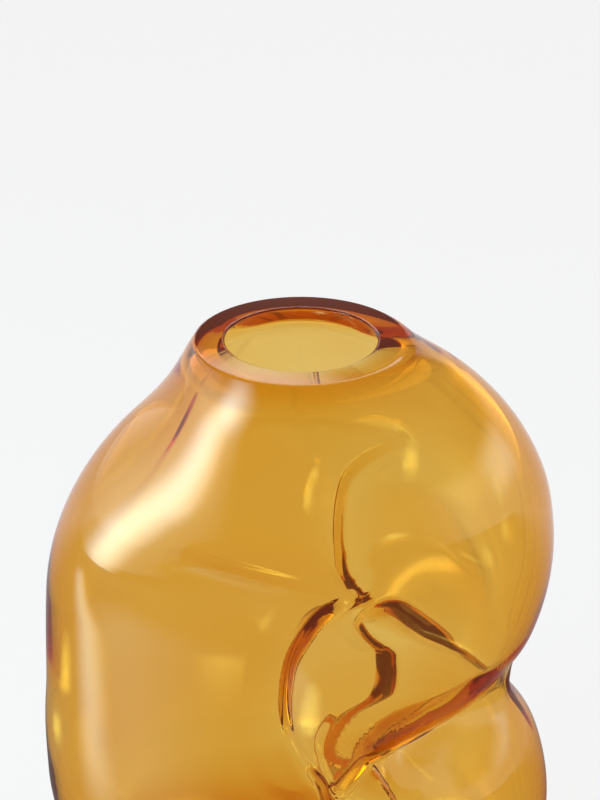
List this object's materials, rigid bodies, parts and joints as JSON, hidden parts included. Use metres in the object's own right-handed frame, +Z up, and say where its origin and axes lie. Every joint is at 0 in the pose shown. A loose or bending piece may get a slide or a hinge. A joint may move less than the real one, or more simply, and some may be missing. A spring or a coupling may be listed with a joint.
{
  "type": "glass vase",
  "caption": "Blown amber glass vase with rounded bulges pressed together, soft creases where they meet, a thick flat-cut round mouth and a flat base.",
  "frame": {"origin": "on the flat base face, straight under the middle of the mouth", "axes": "+Z up along the mouth's axis, -Y towards the front that faces the viewer in the picture, +X towards the pair of bulges on the right"},
  "size_m": [0.1577, 0.1084, 0.205],
  "materials": {
    "amber_glass": "smooth polished transparent amber"
  },
  "bodies": {
    "root": {"glass_body": "amber_glass"}
  },
  "joints": []
}
